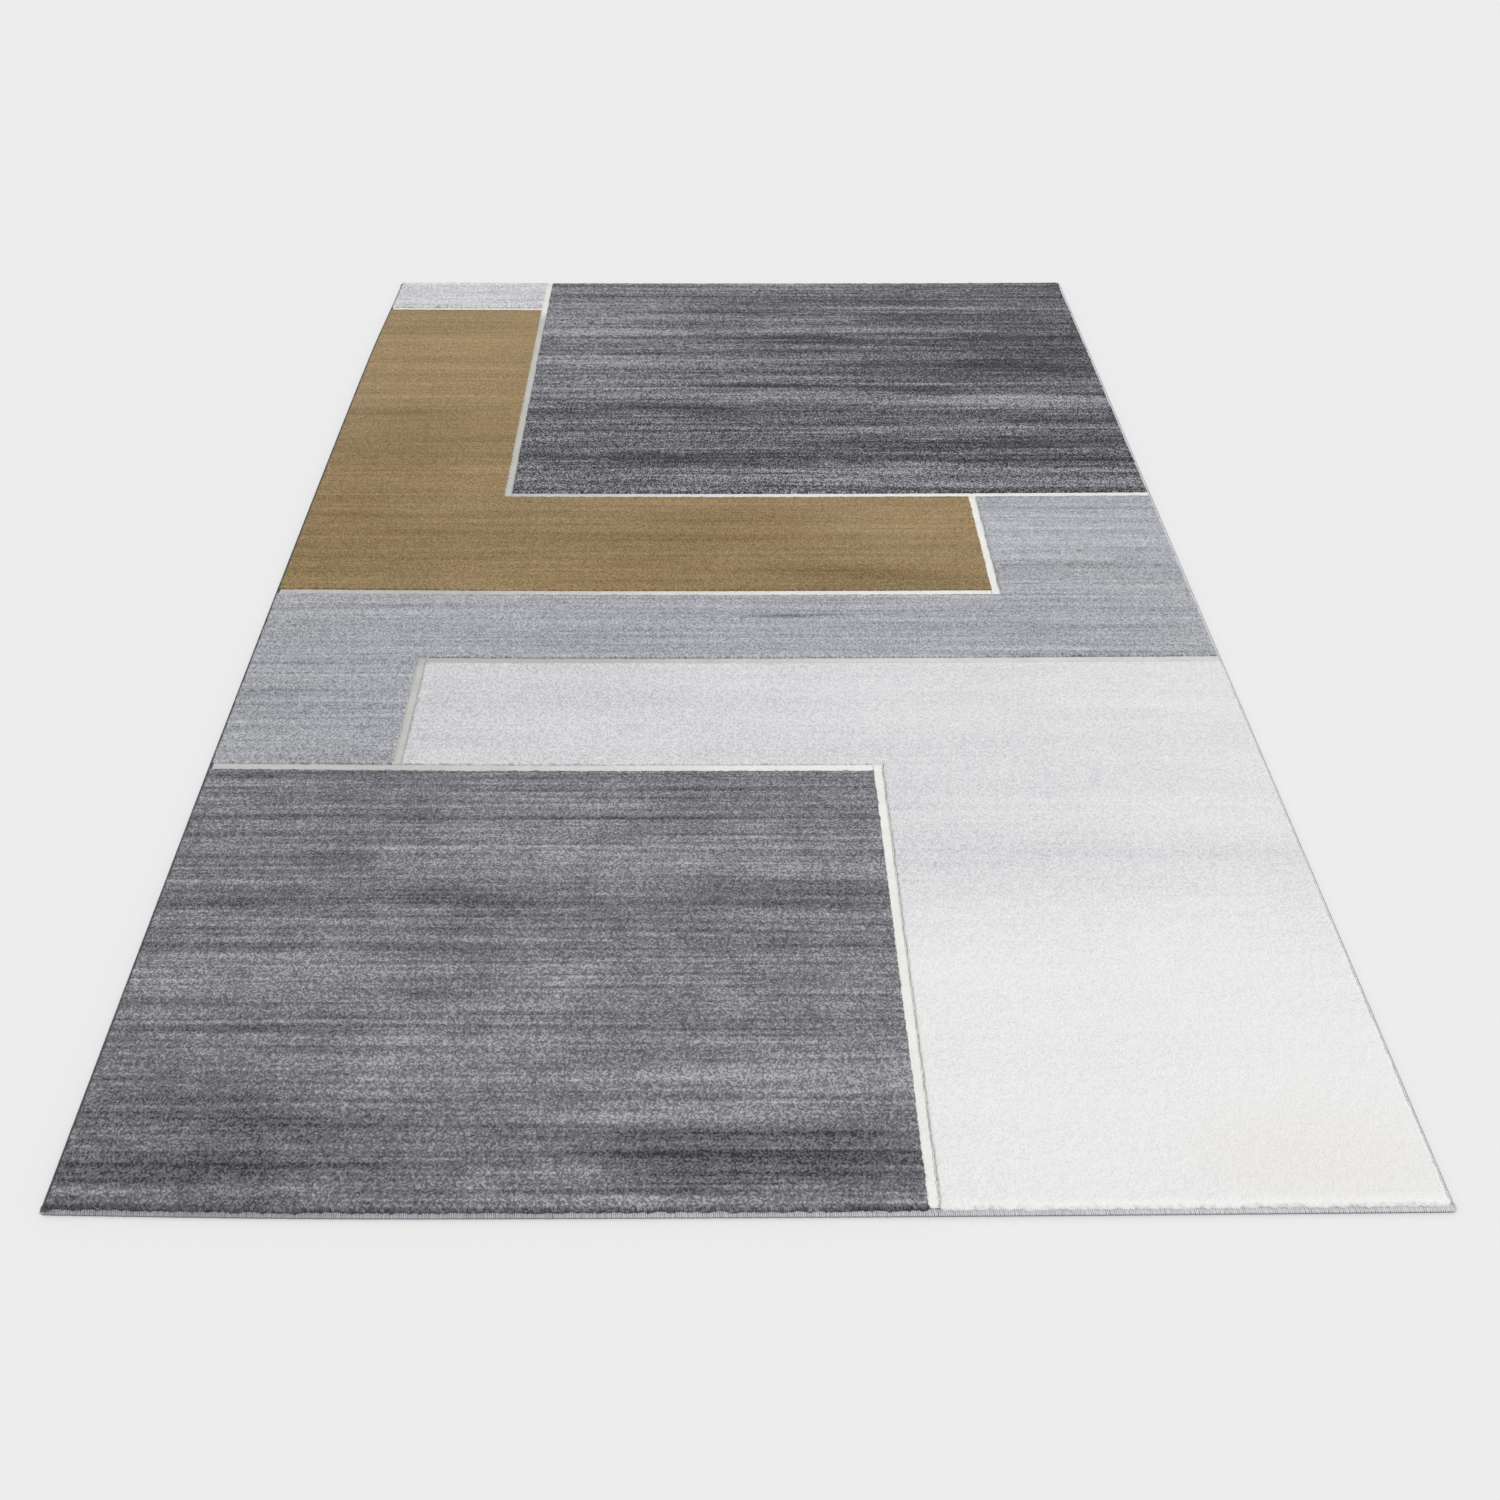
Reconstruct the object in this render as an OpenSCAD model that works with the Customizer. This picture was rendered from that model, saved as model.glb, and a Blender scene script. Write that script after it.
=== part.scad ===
// Machine-woven area rug with a colour-block pattern, lying flat on the floor.
// Cut-pile fields stand on a woven ground, low-pile outlines run between them,
// and four overcast edges are wrapped round a filler cord and the lip of the ground weave.
// Units are millimetres. The origin is at the middle of the underside, +Y runs to the back end.

/* [Rug] */
// Width of the rug over its side bindings
rug_w = 1600; // [1300:10:2400]
// Length of the rug over its end bindings
rug_l = 2300; // [1900:10:3400]

/* [Layers] */
// Thickness of the latex coat on the underside
coat_t = 0.3; // [0.2:0.1:1]
// Thickness of the woven ground
weave_t = 2.2; // [1.8:0.1:3]
// Height of the cut pile above the ground
pile_h = 10; // [6:0.5:16]
// Height of the low pile in the outlines
low_pile_h = 6.5; // [3:0.5:8]

/* [Pattern] */
// Width of the low-pile outlines
outline_w = 14; // [8:1:20]
// Left edge to the middle of the outline beside the back charcoal field
corner_w = 366; // [250:1:450]
// Back edge to the middle of the outline behind the gold field
corner_l = 140; // [80:1:200]
// Back edge to the middle of the outline in front of the back charcoal field
back_block_l = 893; // [500:1:1000]
// Length of the gold bar between the middles of its outlines
gold_bar_l = 296; // [150:1:350]
// Left edge to the middle of the outline at the gold bar's end
gold_bar_w = 1256; // [800:1:1270]
// Length of the silver band between the middles of its outlines
silver_band_l = 177; // [100:1:220]
// Left edge to the middle of the outline at the ivory bar's end
silver_block_w = 278; // [150:1:400]
// Length of the ivory bar between the middles of its outlines
ivory_bar_l = 243; // [150:1:300]
// Left edge to the middle of the outline beside the front charcoal field
front_block_w = 1010; // [700:1:1150]

/* [Edges] */
// Width of the overcast side edges
side_binding_w = 8; // [7:0.5:12]
// Width of the overcast front and back edges
end_binding_w = 10; // [8:0.5:14]
// Thickness of the overcast edges
binding_t = 5.6; // [5:0.1:7]
// Thickness of the yarn that wraps the edges
wrap_t = 1.1; // [0.8:0.1:1.4]
// Diameter of the filler cord in each edge
cord_d = 3; // [2:0.1:3.6]
// Thickness of the pressed lip of the ground weave inside the edges
lip_t = 1.2; // [0.8:0.1:1.6]
// Diameter of the seam thread on the end edges
thread_d = 0.9; // [0.6:0.1:1.2]

/* [Hidden] */
$fn = 48;

// Clearance all round the filler cord in its channel, and past the end of the lip.
cord_gap = 0.1;
// Gap between the seam thread and the pile beside it.
thread_gap = 0.3;
// Overrun that opens a cut cleanly through a face.
cut = 1;

ground_top = coat_t + weave_t;

// Inner limits of the pile, where the bindings begin.
x_left = -rug_w / 2 + side_binding_w;
x_right = rug_w / 2 - side_binding_w;
y_front = -rug_l / 2 + end_binding_w;
y_back = rug_l / 2 - end_binding_w;

// Middles of the outlines that run along Y.
x_corner = -rug_w / 2 + corner_w;
x_gold = -rug_w / 2 + gold_bar_w;
x_silver = -rug_w / 2 + silver_block_w;
x_block = -rug_w / 2 + front_block_w;

// Middles of the outlines that run along X, from the back to the front.
y_corner = rug_l / 2 - corner_l;
y_block = rug_l / 2 - back_block_l;
y_gold = y_block - gold_bar_l;
y_silver = y_gold - silver_band_l;
y_ivory = y_silver - ivory_bar_l;

// Half of an outline, from its middle to the pile on either side.
half = outline_w / 2;

// The channel for the filler cord, and the lip that ends just beside it, flush with the ground's top.
channel_r = cord_d / 2 + cord_gap;
channel_u = wrap_t + channel_r;
lip_z = ground_top - lip_t;
lip_start = channel_u + channel_r + cord_gap;
corner_r = binding_t * 0.4;

// Cut pile standing on the ground weave, over the outline of its children.
module pile() {
    translate([0, 0, ground_top]) linear_extrude(pile_h) children();
}

// One low-pile strip between two corners of its rectangle.
module outline(low, high) {
    translate([low.x, low.y, ground_top])
        cube([high.x - low.x, high.y - low.y, low_pile_h]);
}

// A rectangle between two corners, flat on the XY plane.
module field(low, high) {
    translate(low) square(high - low);
}

// Section of an overcast edge: x is the distance in from the rug's rim and y is the height.
// It is rounded at the rim, and open at the inner face where the lip of the ground enters.
module overcast_section(width) {
    difference() {
        union() {
            translate([corner_r, 0]) square([width - corner_r, binding_t]);
            translate([0, corner_r]) square([width, binding_t - 2 * corner_r]);
            translate([corner_r, corner_r]) circle(corner_r);
            translate([corner_r, binding_t - corner_r]) circle(corner_r);
        }
        translate([channel_u, binding_t / 2]) circle(channel_r);
        translate([channel_u, lip_z]) square([width - channel_u + cut, lip_t]);
    }
}

// Extrudes a section along the left side, or the right side when flip is true.
module along_side(flip = false) {
    mirror([flip ? 1 : 0, 0, 0])
        translate([-rug_w / 2, 0, 0])
        rotate([90, 0, 0])
        linear_extrude(rug_l - 2 * end_binding_w, center = true)
        children();
}

// Extrudes a section along the front end, or the back end when flip is true.
module along_end(flip = false) {
    mirror([0, flip ? 1 : 0, 0])
        translate([0, -rug_l / 2, 0])
        rotate([90, 0, 90])
        linear_extrude(rug_w, center = true)
        children();
}

// A filler cord or a seam thread: a round section at a place in the edge's section.
module round_section(place, diameter) {
    translate(place) circle(d = diameter);
}

module latex_backcoat() {
    color("tan")
        linear_extrude(coat_t)
        field([x_left, y_front], [x_right, y_back]);
}

module ground_weave() {
    color("burlywood") {
        translate([0, 0, coat_t])
            linear_extrude(weave_t)
            field([x_left, y_front], [x_right, y_back]);
        translate([0, 0, lip_z])
            linear_extrude(lip_t)
            field(
                [-rug_w / 2 + lip_start, -rug_l / 2 + lip_start],
                [rug_w / 2 - lip_start, rug_l / 2 - lip_start]
            );
    }
}

module pile_pale_corner() {
    color("lightgray")
        pile()
        field([x_left, y_corner + half], [x_corner - half, y_back]);
}

module pile_gold() {
    color("darkgoldenrod")
        pile()
        polygon([
            [x_left, y_gold + half], [x_gold - half, y_gold + half],
            [x_gold - half, y_block - half], [x_corner - half, y_block - half],
            [x_corner - half, y_corner - half], [x_left, y_corner - half]
        ]);
}

module pile_charcoal_back() {
    color("dimgray")
        pile()
        field([x_corner + half, y_block + half], [x_right, y_back]);
}

module pile_silver() {
    color("silver")
        pile()
        polygon([
            [x_left, y_ivory + half], [x_silver - half, y_ivory + half],
            [x_silver - half, y_silver + half], [x_right, y_silver + half],
            [x_right, y_block - half], [x_gold + half, y_block - half],
            [x_gold + half, y_gold - half], [x_left, y_gold - half]
        ]);
}

module pile_ivory() {
    color("ivory")
        pile()
        polygon([
            [x_silver + half, y_ivory + half], [x_block + half, y_ivory + half],
            [x_block + half, y_front], [x_right, y_front],
            [x_right, y_silver - half], [x_silver + half, y_silver - half]
        ]);
}

module pile_charcoal_front() {
    color("dimgray")
        pile()
        field([x_left, y_front], [x_block - half, y_ivory - half]);
}

module outline_corner_front() {
    color("floralwhite")
        outline([x_left, y_corner - half], [x_corner - half, y_corner + half]);
}

module outline_back_block_side() {
    color("floralwhite")
        outline([x_corner - half, y_block - half], [x_corner + half, y_back]);
}

module outline_back_block_front() {
    color("floralwhite")
        outline([x_corner + half, y_block - half], [x_right, y_block + half]);
}

module outline_gold_end() {
    color("floralwhite")
        outline([x_gold - half, y_gold - half], [x_gold + half, y_block - half]);
}

module outline_gold_front() {
    color("floralwhite")
        outline([x_left, y_gold - half], [x_gold - half, y_gold + half]);
}

module outline_ivory_end() {
    color("floralwhite")
        outline([x_silver - half, y_ivory + half], [x_silver + half, y_silver + half]);
}

module outline_ivory_back() {
    color("floralwhite")
        outline([x_silver + half, y_silver - half], [x_right, y_silver + half]);
}

module outline_front_block_side() {
    color("floralwhite")
        outline([x_block - half, y_front], [x_block + half, y_ivory + half]);
}

module outline_front_block_back() {
    color("floralwhite")
        outline([x_left, y_ivory - half], [x_block - half, y_ivory + half]);
}

module side_overcast(flip) {
    color("slategray") along_side(flip) overcast_section(side_binding_w);
}

module end_overcast(flip) {
    color("slategray") along_end(flip) overcast_section(end_binding_w);
}

module side_cord(flip) {
    color("gainsboro")
        along_side(flip)
        round_section([channel_u, binding_t / 2], cord_d);
}

module end_cord(flip) {
    color("gainsboro")
        along_end(flip)
        round_section([channel_u, binding_t / 2], cord_d);
}

module seam_thread(flip) {
    color("whitesmoke")
        along_end(flip)
        round_section([end_binding_w - thread_gap - thread_d / 2, binding_t + thread_d / 2], thread_d);
}

latex_backcoat();
ground_weave();
pile_pale_corner();
pile_gold();
pile_charcoal_back();
pile_silver();
pile_ivory();
pile_charcoal_front();
outline_corner_front();
outline_back_block_side();
outline_back_block_front();
outline_gold_end();
outline_gold_front();
outline_ivory_end();
outline_ivory_back();
outline_front_block_side();
outline_front_block_back();
side_overcast(false);  // left_overcast
side_overcast(true);  // right_overcast
end_overcast(false);  // front_overcast
end_overcast(true);  // back_overcast
side_cord(false);  // left_edge_cord
side_cord(true);  // right_edge_cord
end_cord(false);  // front_edge_cord
end_cord(true);  // back_edge_cord
seam_thread(false);  // front_seam_thread
seam_thread(true);  // back_seam_thread
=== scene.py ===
"""The looks of a machine-woven area rug, built round its CAD frame.

Cut-pile fields, low-pile outlines, overcast edges, the woven ground and its latex coat are all
closed meshes in the places that the frame gives. Lengths here are in metres.
"""
import math

import bmesh
import bpy
import numpy as np
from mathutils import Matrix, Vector


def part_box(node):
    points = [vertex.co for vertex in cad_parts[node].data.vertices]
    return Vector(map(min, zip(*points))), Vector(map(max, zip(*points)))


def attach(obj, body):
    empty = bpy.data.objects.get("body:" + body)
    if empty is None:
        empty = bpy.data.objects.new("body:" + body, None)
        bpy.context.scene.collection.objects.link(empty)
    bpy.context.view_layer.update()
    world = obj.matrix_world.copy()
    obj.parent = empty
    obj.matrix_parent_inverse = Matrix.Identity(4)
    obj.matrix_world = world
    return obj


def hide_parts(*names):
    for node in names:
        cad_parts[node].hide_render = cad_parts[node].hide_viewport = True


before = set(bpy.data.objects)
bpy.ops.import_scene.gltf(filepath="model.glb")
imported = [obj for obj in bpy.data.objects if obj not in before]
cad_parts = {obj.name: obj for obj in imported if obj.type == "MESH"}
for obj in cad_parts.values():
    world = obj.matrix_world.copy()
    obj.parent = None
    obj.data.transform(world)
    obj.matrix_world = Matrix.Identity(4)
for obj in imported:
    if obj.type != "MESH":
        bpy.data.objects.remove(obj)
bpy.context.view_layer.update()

MM = 0.001
BODY = "root"
SEED = 7

# How far apart grid lines, tufts, yarns and stitches are
PILE_STEP = 2.85 * MM
LARGE_PILE_STEP = 3.6 * MM
OUTLINE_STEP = 1.9 * MM
TUFT_PITCH = 2.6 * MM
OUTLINE_TUFT_PITCH = 2.3 * MM
GRAIN_PITCH = 1.9 * MM
ROW_PITCH = 2.7 * MM
WEFT_PITCH = 3.2 * MM
WARP_PITCH = 2.6 * MM
WRAP_PITCH = 2.4 * MM
STITCH_PITCH = 5.2 * MM
CORD_LAY = 14 * MM

# How the pile leans: its tips stand a little to the left of their roots
NAP_LEAN = (-1.0 * MM, -0.2 * MM)

# How far the fields stand back from the outlines, which widen to fill the gap
SET_BACK = 0.4 * MM

# How the rug lies: how far its weft lines and its edges bow, how far the pattern on the left and
# the back left corner are drawn to the right, and how far the front end is askew
WEFT_BOW = 5.5 * MM
LEFT_BOW = 7.5 * MM
RIGHT_BOW = 2.2 * MM
LEFT_DRAW = 3.5 * MM
CORNER_DRAW = 8.0 * MM
FRONT_SKEW = 1.6 * MM

# Places that are closer together than this count as the same
SAME_PLACE = 0.1 * MM


# ---------------------------------------------------------------------------
# Node trees, written as expressions
# ---------------------------------------------------------------------------
class Value:
    """An output socket in an expression. Its operators add Math nodes to the tree."""

    def __init__(self, tree, socket):
        self.tree = tree
        self.socket = socket

    def __add__(self, other):
        return self.tree.maths("ADD", self, other)

    def __sub__(self, other):
        return self.tree.maths("SUBTRACT", self, other)

    def __mul__(self, other):
        return self.tree.maths("MULTIPLY", self, other)

    def __truediv__(self, other):
        return self.tree.maths("DIVIDE", self, other)

    def __rsub__(self, other):
        return self.tree.maths("SUBTRACT", other, self)

    __radd__ = __add__
    __rmul__ = __mul__


class Tree:
    """A shader or geometry node tree that is being built."""

    def __init__(self, tree):
        self.nodes = tree.nodes
        self.links = tree.links

    def node(self, kind, settings=None, inputs=None, output=0):
        """Adds a node, sets it up, fills its sockets with values or links, and gives one output."""
        made = self.nodes.new(kind)
        for name, setting in (settings or {}).items():
            if name == "stops":
                self.set_ramp(made.color_ramp, setting)
            else:
                setattr(made, name, setting)
        for key, value in (inputs or {}).items():
            if isinstance(value, Value):
                self.links.new(value.socket, made.inputs[key])
            else:
                made.inputs[key].default_value = value
        return Value(self, made.outputs[output])

    def set_ramp(self, ramp, stops):
        """Gives a colour ramp its (place, colour) stops."""
        while len(ramp.elements) < len(stops):
            ramp.elements.new(1.0)
        for element, (place, colour) in zip(ramp.elements, stops):
            element.position = place
            element.color = (*colour, 1.0)

    def maths(self, operation, first, second=0.0):
        return self.node("ShaderNodeMath", {"operation": operation}, {0: first, 1: second})

    def absolute(self, value):
        return self.maths("ABSOLUTE", value)

    def smooth_step(self, value, low, high, start=0.0, end=1.0):
        """Runs smoothly from start to end as value goes from low to high."""
        return self.node(
            "ShaderNodeMapRange", {"interpolation_type": "SMOOTHSTEP"},
            {"Value": value, "From Min": low, "From Max": high, "To Min": start, "To Max": end},
        )

    def split(self, vector):
        """The three components of a vector."""
        made = self.node("ShaderNodeSeparateXYZ", inputs={"Vector": vector})
        outputs = made.socket.node.outputs
        return [Value(self, outputs[axis]) for axis in ("X", "Y", "Z")]

    def join(self, x, y, z):
        return self.node("ShaderNodeCombineXYZ", inputs={"X": x, "Y": y, "Z": z})

    def noise(self, x, y, z, detail=2.0, roughness=0.5):
        """Noise with a mean of 0 and a spread of about 1, one lump to each unit of x, y and z."""
        made = self.node(
            "ShaderNodeTexNoise", {"noise_dimensions": "3D"},
            {"Vector": self.join(x, y, z), "Scale": 1.0, "Detail": detail, "Roughness": roughness},
        )
        return (made - 0.5) * 8.0

    def stored(self, name):
        """A value that the mesh stores, as a shader reads it."""
        return self.node("ShaderNodeAttribute", {"attribute_name": name}, output="Fac")

    def ramp(self, place, *colours):
        """A colour between evenly spaced ones, the first at 0 and the last at 1."""
        last = len(colours) - 1
        stops = [(number / last, colour) for number, colour in enumerate(colours)]
        return self.node("ShaderNodeValToRGB", {"stops": stops}, {"Fac": place})

    def tinted(self, colour, tint, amount):
        """A colour multiplied by another one, as far as the amount says."""
        return self.node(
            "ShaderNodeMix", {"data_type": "RGBA", "blend_type": "MULTIPLY"},
            {0: amount, 6: colour, 7: tint}, output=2,
        )

    def shaded(self, colour, level):
        """A colour made darker or lighter by a factor."""
        grey = self.node("ShaderNodeCombineColor", inputs={0: level, 1: level, 2: level})
        return self.tinted(colour, grey, 1.0)


def srgb(*levels):
    """A linear colour from three 0 to 255 display levels."""
    scaled = [level / 255 for level in levels]
    return tuple(v / 12.92 if v <= 0.04045 else ((v + 0.055) / 1.055) ** 2.4 for v in scaled)


def new_material(name):
    """An empty material with its tree, its Principled shader and its Object coordinates."""
    material = bpy.data.materials.new(name)
    material.use_nodes = True
    material.node_tree.nodes.clear()
    tree = Tree(material.node_tree)
    shader = tree.nodes.new("ShaderNodeBsdfPrincipled")
    output = tree.nodes.new("ShaderNodeOutputMaterial")
    tree.links.new(shader.outputs["BSDF"], output.inputs["Surface"])
    place = tree.node("ShaderNodeTexCoord", output="Object")
    return material, tree, shader, tree.split(place)


def finish_shader(tree, shader, colour, roughness, height, bump, bump_depth, constants=None):
    """Links a surface's colour, roughness and relief, and sets its constant values by socket."""
    tree.links.new(colour.socket, shader.inputs["Base Color"])
    tree.links.new(roughness.socket, shader.inputs["Roughness"])
    normal = tree.node(
        "ShaderNodeBump", inputs={"Strength": bump, "Distance": bump_depth, "Height": height}
    )
    tree.links.new(normal.socket, shader.inputs["Normal"])
    for name, value in (constants or {}).items():
        shader.inputs[name].default_value = value


# ---------------------------------------------------------------------------
# Sizes from the frame
# ---------------------------------------------------------------------------
GROUND_LOW, GROUND_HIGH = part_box("ground_weave")
COAT_LOW, COAT_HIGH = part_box("latex_backcoat")
PILE_FOOT, PILE_TOP = (corner.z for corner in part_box("pile_charcoal_back"))
OUTLINE_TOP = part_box("outline_gold_front")[1].z
RIM_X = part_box("right_overcast")[1].x
RIM_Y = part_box("back_overcast")[1].y

PILE_BOXES = [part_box(node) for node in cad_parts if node.startswith("pile_")]
AREA_LOW = [min(low[axis] for low, high in PILE_BOXES) for axis in (0, 1)]
AREA_HIGH = [max(high[axis] for low, high in PILE_BOXES) for axis in (0, 1)]


def field_box(node):
    """A field's corners, set back from every outline but not from the rug's own edges."""
    low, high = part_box(node)
    for axis in (0, 1):
        if low[axis] > AREA_LOW[axis] + SAME_PLACE:
            low[axis] += SET_BACK
        if high[axis] < AREA_HIGH[axis] - SAME_PLACE:
            high[axis] -= SET_BACK
    return low, high


def field_rectangles(node):
    """The rectangles (x0, y0, x1, y1) that make a field up: more than one where it turns."""
    low, high = field_box(node)
    if node == "pile_gold":
        bar_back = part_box("outline_back_block_front")[0].y - SET_BACK
        upright_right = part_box("outline_back_block_side")[0].x - SET_BACK
        return [
            (low.x, low.y, high.x, bar_back),
            (low.x, bar_back, upright_right, high.y),
        ]
    if node == "pile_silver":
        left_block_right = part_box("outline_ivory_end")[0].x - SET_BACK
        band_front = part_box("outline_ivory_back")[1].y + SET_BACK
        band_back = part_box("outline_gold_front")[0].y - SET_BACK
        right_block_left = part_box("outline_gold_end")[1].x + SET_BACK
        return [
            (low.x, low.y, left_block_right, band_front),
            (low.x, band_front, high.x, band_back),
            (right_block_left, band_back, high.x, high.y),
        ]
    if node == "pile_ivory":
        bar_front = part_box("outline_front_block_back")[1].y + SET_BACK
        block_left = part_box("outline_front_block_side")[1].x + SET_BACK
        return [
            (low.x, bar_front, high.x, high.y),
            (block_left, low.y, high.x, bar_front),
        ]
    return [(low.x, low.y, high.x, high.y)]


def run_of(node):
    """The box of a long, narrow node, the axis that it runs along, its length and its width."""
    low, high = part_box(node)
    spans = high - low
    along = 0 if spans.x > spans.y else 1
    return low, high, along, spans[along], spans[1 - along]


# ---------------------------------------------------------------------------
# Meshes and objects
# ---------------------------------------------------------------------------
def add_object(name, data):
    made = bpy.data.objects.new(name, data)
    bpy.context.scene.collection.objects.link(made)
    return made


def link_piece(name, mesh, material=None):
    """A piece in the scene, at the origin, with smooth faces."""
    if material:
        mesh.materials.append(material)
    mesh.polygons.foreach_set("use_smooth", [True] * len(mesh.polygons))
    return add_object(name, mesh)


def mesh_from_arrays(name, points, quads, last_face=()):
    """A mesh of four-sided faces, and one last face with any number of sides."""
    mesh = bpy.data.meshes.new(name)
    mesh.vertices.add(len(points))
    mesh.vertices.foreach_set("co", points.ravel())
    corners = np.append(quads.ravel(), last_face).astype(np.int32)
    mesh.loops.add(len(corners))
    mesh.loops.foreach_set("vertex_index", corners)
    starts = np.arange(len(quads) + (len(last_face) > 0)) * 4
    mesh.polygons.add(len(starts))
    mesh.polygons.foreach_set("loop_start", starts.astype(np.int32))
    mesh.update(calc_edges=True)
    return mesh


def closed_mesh(name, points, faces):
    """A mesh of closed shells, with its faces outwards and smooth."""
    mesh = bpy.data.meshes.new(name)
    mesh.from_pydata(points, [], faces)
    work = bmesh.new()
    work.from_mesh(mesh)
    bmesh.ops.recalc_face_normals(work, faces=work.faces)
    work.to_mesh(mesh)
    work.free()
    mesh.polygons.foreach_set("use_smooth", [True] * len(mesh.polygons))
    return mesh


def ring_faces(count, sides, joined=False, first=0):
    """Faces between rings of points that follow each other, joined end to end or capped."""
    faces = []
    for ring in range(count if joined else count - 1):
        start, after = first + ring * sides, first + (ring + 1) % count * sides
        for k in range(sides):
            turn = (k + 1) % sides
            faces.append((start + k, start + turn, after + turn, after + k))
    if not joined:
        last = first + (count - 1) * sides
        faces.append(tuple(reversed(range(first, first + sides))))
        faces.append(tuple(range(last, last + sides)))
    return faces


def swept_shape(name, rings, joined=False):
    """A helper object whose closed surface runs through rings of points."""
    points = [point for ring in rings for point in ring]
    return add_object(name, closed_mesh(name, points, ring_faces(len(rings), len(rings[0]), joined)))


def store(mesh, name, values, kind="FLOAT"):
    """Stores a number or a vector for each point of a mesh."""
    layer = mesh.attributes.new(name, kind, "POINT")
    field = "vector" if kind == "FLOAT_VECTOR" else "value"
    layer.data.foreach_set(field, np.asarray(values, np.float32).ravel())


def read_points(mesh):
    points = np.empty(len(mesh.vertices) * 3, np.float32)
    mesh.vertices.foreach_get("co", points)
    return points.reshape(-1, 3)


def circle(sides):
    """The angles of a circle's corners."""
    return [2 * math.pi * k / sides for k in range(sides)]


# ---------------------------------------------------------------------------
# Closed grids over a union of rectangles
# ---------------------------------------------------------------------------
def grid_lines(edges, step, near_edge):
    """Line places from the first edge to the last, through every edge, closer beside each edge."""
    edges = sorted(set(round(edge, 7) for edge in edges))
    marks = set(edges)
    for edge in edges:
        for offset in near_edge:
            for mark in (edge - offset, edge + offset):
                if edges[0] < mark < edges[-1] and min(abs(mark - e) for e in edges) > offset - 1e-6:
                    marks.add(mark)
    marks = sorted(marks)
    lines = [marks[0]]
    for start, end in zip(marks, marks[1:]):
        count = max(1, round((end - start) / step))
        lines.extend(start + (end - start) * k / count for k in range(1, count + 1))
    return np.array(lines)


def border_sides(rectangles):
    """The outer sides of a union of rectangles, each as (x0, y0, x1, y1, outward x, outward y)."""
    xs = sorted(set(round(r[k], 7) for r in rectangles for k in (0, 2)))
    ys = sorted(set(round(r[k], 7) for r in rectangles for k in (1, 3)))
    beside = 1e-5

    def covered(x, y):
        return any(r[0] < x < r[2] and r[1] < y < r[3] for r in rectangles)

    sides = []
    for x in xs:
        for y0, y1 in zip(ys, ys[1:]):
            middle = (y0 + y1) / 2
            left, right = covered(x - beside, middle), covered(x + beside, middle)
            if left != right:
                sides.append((x, y0, x, y1, 1.0 if left else -1.0, 0.0))
    for y in ys:
        for x0, x1 in zip(xs, xs[1:]):
            middle = (x0 + x1) / 2
            below, above = covered(middle, y - beside), covered(middle, y + beside)
            if below != above:
                sides.append((x0, y, x1, y, 0.0, 1.0 if below else -1.0))
    return sides


def distance_to_sides(points, sides):
    """Distance from each point to the nearest side, and the outward direction of that side."""
    nearest = np.full(len(points), np.inf)
    outward = np.zeros((len(points), 2))
    for x0, y0, x1, y1, out_x, out_y in sides:
        dx = points[:, 0] - np.clip(points[:, 0], min(x0, x1), max(x0, x1))
        dy = points[:, 1] - np.clip(points[:, 1], min(y0, y1), max(y0, y1))
        away = np.hypot(dx, dy)
        closer = away < nearest - 1e-9
        nearest[closer] = away[closer]
        outward[closer] = (out_x, out_y)
    return nearest, outward


def border_loop(cells):
    """Grid places along the border of a set of cells, in order, anticlockwise from above."""
    padded = np.pad(cells, 1)
    following = {}
    for i, j in zip(*np.nonzero(cells)):
        if not padded[i + 1, j]:
            following[(i, j)] = (i + 1, j)
        if not padded[i + 2, j + 1]:
            following[(i + 1, j)] = (i + 1, j + 1)
        if not padded[i + 1, j + 2]:
            following[(i + 1, j + 1)] = (i, j + 1)
        if not padded[i, j + 1]:
            following[(i, j + 1)] = (i, j)
    start = next(iter(following))
    loop = [start]
    while following[loop[-1]] != start:
        loop.append(following[loop[-1]])
    return loop


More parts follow.
